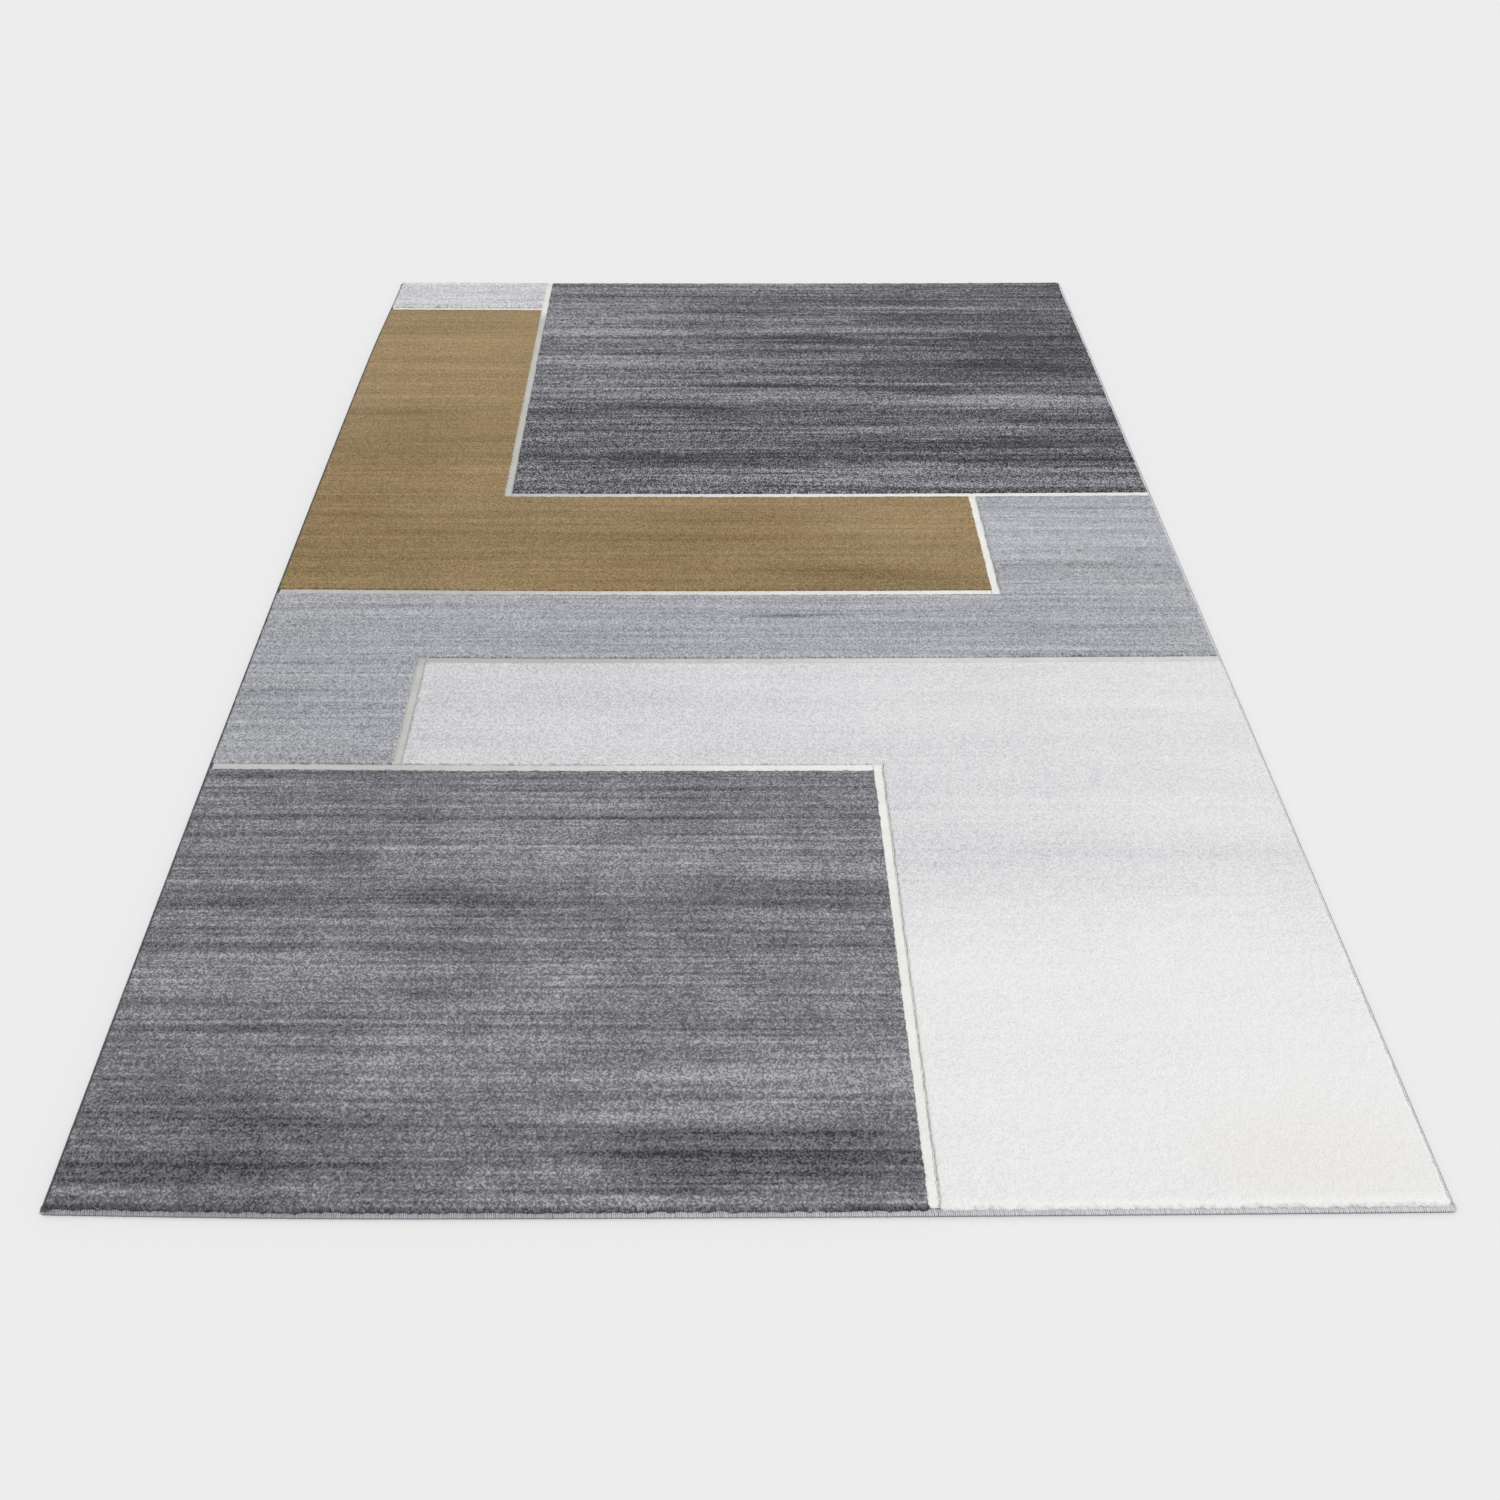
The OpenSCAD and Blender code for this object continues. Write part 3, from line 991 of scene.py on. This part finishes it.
def edge_yarn_material():
    """Grey overcast yarn, a touch glossy, with painted light and shade: lighter to the right, darker
    on the left, in lines along the right edge, and where it turns under to the floor.
    """
    material, tree, shader, (x, y, z) = new_material("grey_overcast_yarn")
    fibres = tree.noise(x * 900, y * 900, z * 900, 2.0)
    lengthwise = tree.noise(x * 6, y * 6, 2.2, 2.0)
    across = tree.stored("across")
    on_right = tree.smooth_step(x, RIM_X - 20 * MM, RIM_X - 10 * MM)
    on_right = on_right * tree.smooth_step(tree.absolute(y), RIM_Y - 8 * MM, RIM_Y - 14 * MM)
    # Painted shade along the left edge, which lies in the shade of the pile
    left_edge_shade = tree.smooth_step(x, 3 * MM - RIM_X, 14 * MM - RIM_X, 0.6, 0.0)
    broken_shade_line = tree.smooth_step(tree.noise(y * 35, x, 4.1, 2.0), -0.3, 0.3)
    # Painted light: the yarn is lighter towards the right, where the key light falls
    tone = tree.smooth_step(x, -0.85, 0.85, 0.42, 0.96)
    tone = tone - left_edge_shade * tree.smooth_step(y, -RIM_Y - 2 * MM, 4 * MM - RIM_Y)
    # Painted shade on the right edge: a dark line at its outer rim, and a broken one beside the pile
    tone = tone - tree.smooth_step(across, 0.70, 0.84, 0.0, 0.9) * on_right
    tone = tone - tree.smooth_step(across, 0.34, 0.18, 0.0, 0.6) * broken_shade_line * on_right
    tone = tone + (tree.stored("tone") - 0.5) * 0.16 + fibres * 0.06 + lengthwise * 0.04
    colour = tree.ramp(tone, srgb(84, 84, 90), srgb(172, 172, 180), srgb(226, 226, 231))
    # Painted shade where the yarn turns under towards the floor
    under = tree.smooth_step(z, 2.0 * MM, 5.4 * MM, 0.16, 1.0)
    finish_shader(
        tree, shader, tree.shaded(colour, under), 0.62 + fibres * 0.04, fibres, 0.4, 0.2 * MM,
        {"Sheen Weight": 0.15, "Specular IOR Level": 0.3},
    )
    return material


def thread_material(name, dark, light, roughness):
    """A plied thread or cord, with a fine twist."""
    material, tree, shader, (x, y, z) = new_material(name)
    fibres = tree.noise(x * 1400, y * 1400, z * 1400, 2.0)
    colour = tree.ramp(0.5 + fibres * 0.2, dark, light)
    finish_shader(tree, shader, colour, roughness + fibres * 0.03, fibres, 0.4, 0.15 * MM)
    return material


def backing_material(name, dark, light, latex):
    """The underside: jute weft ribs between fine warps, softened where latex coats them."""
    material, tree, shader, (x, y, _) = new_material(name)
    weft = tree.maths("SINE", y * (2 * math.pi / WEFT_PITCH))
    warp = tree.maths("SINE", x * (2 * math.pi / WARP_PITCH))
    slubs = tree.noise(x / (20 * MM), y / (1.6 * MM), 5.5, 3.0)
    patches = tree.noise(x / 0.12, y / 0.12, 15.5, 3.0)
    tone = 0.5 + slubs * 0.12 + patches * 0.06 + weft * 0.06 + warp * 0.05
    height = weft * 0.35 + warp * (0.3 - 0.2 * latex) + slubs * (0.2 - 0.12 * latex)
    roughness = 0.85 - 0.2 * latex + slubs * 0.04
    finish_shader(tree, shader, tree.ramp(tone, dark, light), roughness, height, 0.6, 0.5 * MM)
    return material


def floor_material():
    material, tree, shader, (x, y, _) = new_material("pale_floor")
    drift = tree.noise(x * 0.5, y * 0.5, 1.0)
    colour = tree.ramp(0.5 + drift * 0.1, srgb(236, 236, 236), srgb(238, 238, 238))
    tree.links.new(colour.socket, shader.inputs["Base Color"])
    shader.inputs["Roughness"].default_value = 1.0
    shader.inputs["Specular IOR Level"].default_value = 0.0
    return material


# ---------------------------------------------------------------------------
# Pieces
# ---------------------------------------------------------------------------
def place(piece, slot, *nodes):
    """Attaches a finished piece to the body and hides the CAD nodes that it stands for. The slot is
    not used.
    """
    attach(piece, BODY)
    if nodes:
        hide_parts(*nodes)
    return piece


def border_lines(name, sides, height, inset):
    """Loose edges along the sides of a field, each with its outward direction and its painted shade.

    At the rug's two ends they lie lower and further out, and their tufts lean out further.
    """
    end_inset, end_drop, end_lean = -0.9 * MM, 3.4 * MM, 2.6
    lean_x, lean_y = NAP_LEAN
    points, edges, outward, gloom = [], [], [], []
    for x0, y0, x1, y1, out_x, out_y in sides:
        at_end = out_y != 0 and min(abs(y0 - AREA_LOW[1]), abs(y0 - AREA_HIGH[1])) < SAME_PLACE
        at_left = out_x != 0 and abs(x0 - AREA_LOW[0]) < SAME_PLACE
        back, drop, more = (end_inset, end_drop, end_lean) if at_end else (inset, 0.0, 1.0)
        for x, y in ((x0, y0), (x1, y1)):
            points.append((x - out_x * back + lean_x, y - out_y * back + lean_y, height - drop))
            outward.append((out_x * more, out_y * more, 0.0))
            # Painted shade for the tufts at the rug's ends and along the left edge, where they stand
            # in shade
            gloom.append(0.9 if at_end else 0.75 if at_left else 0.0)
        edges.append((len(points) - 2, len(points) - 1))
    mesh = bpy.data.meshes.new(name)
    mesh.from_pydata(points, edges, [])
    store(mesh, "outward", outward, "FLOAT_VECTOR")
    store(mesh, "gloom", gloom)
    return mesh


def pile_field(recipe, tufts, tuft, node, step, material, slot, seed):
    """One field of cut pile, with the tufts that stand along its border."""
    name = node.replace("pile_", "") + "_pile"
    rectangles = field_rectangles(node)
    block = closed_block(
        name, rectangles, step, PILE_FOOT, PILE_TOP, wall_rows=5,
        near_edge=(0.9 * MM, 2.1 * MM, 3.9 * MM),
    )
    piece = recipe.apply(name, block, {
        "Shoulder": 2.4 * MM, "Tuft height": 0.34 * MM, "Tuft spread": step * 0.24,
        "Ripple": 0.22 * MM, "Ragged": 1.2 * MM, "Splay": 4.6 * MM, "Lean": (*NAP_LEAN, 0.0),
        "Foot": PILE_FOOT, "Top": PILE_TOP, "Seed": seed, "Material": material,
    })
    place(piece, slot, node)
    lines = border_lines(name + "_lines", border_sides(rectangles), PILE_TOP - 2.1 * MM, 0.9 * MM)
    edge = tufts.apply(name + "_border_tufts", lines, {
        "Pitch": TUFT_PITCH, "Tuft": tuft, "Lean out": 0.30, "Spread": 0.55 * MM,
        "Seed": seed + 101, "Material": material,
    })
    return [piece, place(edge, slot)]


def outline_strip(recipe, tufts, tuft, node, material, seed):
    """One run of low pile between two fields.

    A run along the weft has straight sides. One along the warp is ragged, because its longer
    tufts lean on the fields on both sides.
    """
    name = node + "_low_pile"
    low, high, along, _, _ = run_of(node)
    low[1 - along] -= SET_BACK
    high[1 - along] += SET_BACK
    strip = [(low.x, low.y, high.x, high.y)]
    block = closed_block(name, strip, OUTLINE_STEP, PILE_FOOT, OUTLINE_TOP, wall_rows=1)
    piece = recipe.apply(name, block, {
        "Shoulder": 1.2 * MM, "Tuft height": 0.28 * MM, "Tuft spread": OUTLINE_STEP * 0.2,
        "Ripple": 0.12 * MM, "Ragged": 0.0, "Splay": 3.4 * MM, "Lean": (0.0, 0.0, 0.0),
        "Foot": PILE_FOOT, "Top": OUTLINE_TOP, "Seed": seed, "Material": material,
    })
    place(piece, "outline_pile", node)
    if along == 0:
        return [piece]
    lines = border_lines(name + "_lines", border_sides(strip), OUTLINE_TOP + 1.5 * MM, 0.6 * MM)
    edge = tufts.apply(node + "_border_tufts", lines, {
        "Pitch": OUTLINE_TUFT_PITCH, "Tuft": tuft, "Lean out": 0.42, "Spread": 0.55 * MM,
        "Seed": seed + 211, "Material": material,
    })
    return [piece, place(edge, "outline_pile")]


def overcast_edge(recipe, side, material, seed):
    """One overcast edge: a yarn wound round the rim, a turn at every step along it."""
    node = side + "_overcast"
    low, high, along, length, width = run_of(node)
    wrap = wrap_shape(node + "_turn", width, high.z - low.z, yarn=1.25 * MM)
    count = round(length / WRAP_PITCH)
    headings = {"front": 0.0, "right": math.pi / 2, "back": math.pi, "left": -math.pi / 2}
    inner = high[1 - along] if side in ("front", "left") else low[1 - along]
    start, step = [inner, inner, 0.0], [0.0, 0.0, 0.0]
    start[along] = -(length - WRAP_PITCH) / 2
    step[along] = (length - WRAP_PITCH) / (count - 1)
    piece = recipe.apply(side + "_overcast_yarn", bpy.data.meshes.new(node + "_seed"), {
        "Shape": wrap, "Count": count, "Start": start, "Step": step,
        "Slant": headings[side] + 0.10, "Jitter": 0.035, "Half run": length / 2,
        "Corner": (5 if along == 0 else 0.01) * MM, "Seed": seed, "Material": material,
    })
    bpy.data.objects.remove(wrap)
    store(piece.data, "across", np.abs(read_points(piece.data)[:, 1 - along] - inner) / width)
    return place(piece, "edge_yarn", node)


def seam_stitches(recipe, stitch, side, material, seed):
    """The row of stitches that ties an end's overcast yarn down beside the pile."""
    node = side + "_seam_thread"
    low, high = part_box(node)
    bare_ends, rise = 14 * MM, 0.05 * MM
    count = round((high.x - low.x - bare_ends) / STITCH_PITCH)
    first = -(count - 1) / 2 * STITCH_PITCH
    piece = recipe.apply(side + "_seam_stitches", bpy.data.meshes.new(node + "_seed"), {
        "Shape": stitch, "Count": count,
        "Start": (first, (low.y + high.y) / 2, (low.z + high.z) / 2 + rise),
        "Step": (STITCH_PITCH, 0.0, 0.0), "Slant": 0.05, "Jitter": 0.05, "Half run": 10.0,
        "Corner": 1.0 * MM, "Seed": seed, "Material": material,
    })
    return place(piece, "seam_thread", node)


def twisted_cord(side, material):
    """The filler cord inside an edge: two strands twisted together."""
    node, name = side + "_edge_cord", side + "_filler_cord"
    low, high, along, length, _ = run_of(node)
    middle, diameter = (low + high) / 2, high.z - low.z
    sides, strand, rings_per_lay = 6, diameter * 0.27, 6
    segments = round(length / CORD_LAY * rings_per_lay)
    points, faces = [], []
    for phase in (0.0, math.pi):
        faces += ring_faces(segments + 1, sides, first=len(points))
        for k in range(segments + 1):
            run = -length / 2 + length * k / segments
            turn = 2 * math.pi * run / CORD_LAY + phase
            for a in circle(sides):
                point = middle.copy()
                point[along] += run
                point[1 - along] += strand * (0.85 * math.cos(turn) + math.cos(a))
                point.z += strand * (0.85 * math.sin(turn) + math.sin(a))
                points.append(point)
    piece = link_piece(name, closed_mesh(name, points, faces), material)
    return place(piece, "filler_cord", node)


def ribbed_cloth(name, low, high, rib_height, both_sides):
    """A closed sheet whose underside, and upper side if asked, has ribs along the weft."""
    rows_per_rib, columns = 4, 8
    rows = round((high.y - low.y) / WEFT_PITCH * rows_per_rib)
    ys = np.linspace(low.y, high.y, rows + 1)
    xs = np.linspace(low.x, high.x, columns + 1)
    grid_x, grid_y = np.meshgrid(xs, ys, indexing="ij")
    drift = 0.35 * np.sin(grid_x * 23 + 4 * np.sin(grid_y * 3)) + 0.25 * np.sin(grid_x * 61)
    rib = rib_height * (0.5 + 0.5 * np.cos(2 * math.pi * grid_y / WEFT_PITCH + drift))
    at_ends = (grid_y <= low.y + 1e-6) | (grid_y >= high.y - 1e-6)
    rib = np.where(at_ends, rib_height, rib)
    under = np.stack([grid_x, grid_y, low.z + rib], 2).reshape(-1, 3)
    upper = np.stack([grid_x, grid_y, high.z - rib * both_sides], 2).reshape(-1, 3)
    index = np.arange(grid_x.size).reshape(grid_x.shape)
    a, b, c, d = index[:-1, :-1], index[1:, :-1], index[1:, 1:], index[:-1, 1:]
    under_faces = np.stack([a, d, c, b], 2).reshape(-1, 4)
    upper_faces = np.stack([a, b, c, d], 2).reshape(-1, 4) + index.size
    loop = np.concatenate([index[:, 0], index[-1, 1:], index[-2::-1, -1], index[0, -2:0:-1]])
    after = np.roll(loop, -1)
    rim_faces = np.stack([loop, after, after + index.size, loop + index.size], 1)
    faces = np.concatenate([under_faces, upper_faces, rim_faces])
    return mesh_from_arrays(name, np.concatenate([under, upper]), faces)


def ground_weave():
    """The woven ground, from the latex coat up to the roots of the pile."""
    name, low = "ground_weave_cloth", Vector((GROUND_LOW.x, GROUND_LOW.y, COAT_HIGH.z))
    mesh = ribbed_cloth(name, low, GROUND_HIGH, 0.35 * MM, both_sides=True)
    jute = backing_material("jute_weave", srgb(158, 132, 92), srgb(204, 182, 142), 0.0)
    return place(link_piece(name, mesh, jute), "ground", "ground_weave")


def latex_coat():
    mesh = ribbed_cloth("latex_coat_skin", COAT_LOW, COAT_HIGH, 0.2 * MM, both_sides=False)
    latex = backing_material("latex_coat", srgb(196, 184, 158), srgb(226, 217, 196), 1.0)
    return place(link_piece("latex_coat_skin", mesh, latex), "backcoat", "latex_backcoat")


def bell(x, middle, reach):
    """1 at the middle, falling away to nothing on both sides."""
    return np.exp(-(((x - middle) / reach) ** 2))


def let_lie(pieces):
    """Moves every piece from the rug's drawn shape to the way that it lies on the floor."""
    half_width, half_length = GROUND_HIGH.x, GROUND_HIGH.y
    for piece in pieces:
        points = read_points(piece.data)
        x, y = points[:, 0].copy(), points[:, 1].copy()
        peak = -0.12 + 0.22 * y
        side = np.where(x < peak, (x - peak) / (peak + half_width), (x - peak) / (half_width - peak))
        bowed = np.cos(math.pi / 2 * np.clip((y + 0.25) / 1.4, -1, 1))
        points[:, 1] -= WEFT_BOW * np.cos(math.pi / 2 * np.clip(side, -1, 1))
        points[:, 1] += FRONT_SKEW * x / half_width * np.clip(-y / half_length, 0, 1)
        points[:, 0] -= LEFT_BOW * bowed * bell(x, -half_width, 0.12)
        points[:, 0] += RIGHT_BOW * bowed * bell(x, half_width, 0.12)
        points[:, 0] += LEFT_DRAW * bell(x, -0.48, 0.20)
        corner = np.exp(-(((x + half_width) / 0.25) ** 2) - ((y - half_length) / 0.22) ** 2)
        points[:, 0] += CORNER_DRAW * corner
        piece.data.vertices.foreach_set("co", points.ravel())
        piece.data.update()


# ---------------------------------------------------------------------------
# Floor, light and camera
# ---------------------------------------------------------------------------
def make_camera():
    """Stands in front of the rug and a little left of its middle, looking down along its length."""
    data = bpy.data.cameras.new("camera")
    data.lens = 29.787
    data.sensor_width = 36.0
    data.shift_x = 0.0263
    data.clip_end = 200.0
    camera = add_object("camera", data)
    camera.location = (-0.0443, -1.7498, 1.3766)
    camera.rotation_euler = (math.radians(44.08), 0.0, 0.0)
    bpy.context.scene.camera = camera


def make_light():
    """Even light from a pale sky, with a soft key from the right, high and a little in front."""
    world = bpy.data.worlds.new("studio")
    world.use_nodes = True
    tree = Tree(world.node_tree)
    tree.nodes.clear()
    seen = tree.node("ShaderNodeLightPath", output="Is Camera Ray")
    strength = 0.493 + seen * 0.345
    sky = tree.node("ShaderNodeBackground", inputs={"Color": (1, 1, 1, 1), "Strength": strength})
    output = tree.nodes.new("ShaderNodeOutputWorld")
    tree.links.new(sky.socket, output.inputs["Surface"])
    bpy.context.scene.world = world

    data = bpy.data.lights.new("key", "SUN")
    data.angle = math.radians(24)
    data.energy = 1.893
    key = add_object("key", data)
    toward = Vector((0.5, -0.4, 1.0)).normalized()
    key.rotation_euler = toward.to_track_quat("Z", "Y").to_euler()
    key.location = toward * 4

    settings = bpy.context.scene.view_settings
    settings.view_transform = "Standard"
    settings.look = "None"


def make_floor():
    """A wide floor, a hair below the rug's underside."""
    half, level = 40.0, -0.4 * MM
    corners = [(-half, -half), (half, -half), (half, half), (-half, half)]
    mesh = bpy.data.meshes.new("floor")
    mesh.from_pydata([(x, y, level) for x, y in corners], [], [(0, 1, 2, 3)])
    link_piece("floor", mesh, floor_material())


def main():
    make_camera()
    make_light()
    make_floor()
    pile, tufts, row = pile_recipe(), tuft_recipe(), row_recipe()
    tuft, stitch = tuft_shape(), stitch_shape()
    pieces = []
    fields = [
        ("pile_pale_corner", PILE_STEP, pale_corner_material(), "pile_pale_grey"),
        ("pile_gold", PILE_STEP, gold_material(), "pile_gold"),
        ("pile_charcoal_back", LARGE_PILE_STEP, charcoal_back_material(), "pile_charcoal"),
        ("pile_silver", PILE_STEP, silver_material(), "pile_silver"),
        ("pile_ivory", PILE_STEP, ivory_material(), "pile_ivory"),
        ("pile_charcoal_front", PILE_STEP, charcoal_front_material(), "pile_charcoal"),
    ]
    for number, (node, step, material, slot) in enumerate(fields):
        pieces += pile_field(pile, tufts, tuft, node, step, material, slot, SEED + 50 * number)

    cream = outline_material()
    outlines = [node for node in sorted(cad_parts) if node.startswith("outline_")]
    for number, node in enumerate(outlines):
        pieces += outline_strip(pile, tufts, tuft, node, cream, SEED + 400 + number)

    yarn = edge_yarn_material()
    filler = thread_material("filler_cord_cotton", srgb(190, 186, 176), srgb(232, 229, 220), 0.85)
    seam = thread_material("seam_thread_polyester", srgb(176, 177, 184), srgb(226, 227, 232), 0.5)
    for number, side in enumerate(("left", "right", "front", "back")):
        pieces.append(overcast_edge(row, side, yarn, SEED + 600 + number))
        pieces.append(twisted_cord(side, filler))
    for number, side in enumerate(("front", "back")):
        pieces.append(seam_stitches(row, stitch, side, seam, SEED + 700 + number))
    bpy.data.objects.remove(tuft)
    bpy.data.objects.remove(stitch)

    pieces.append(latex_coat())
    ground = ground_weave()
    let_lie(pieces + [ground])


main()
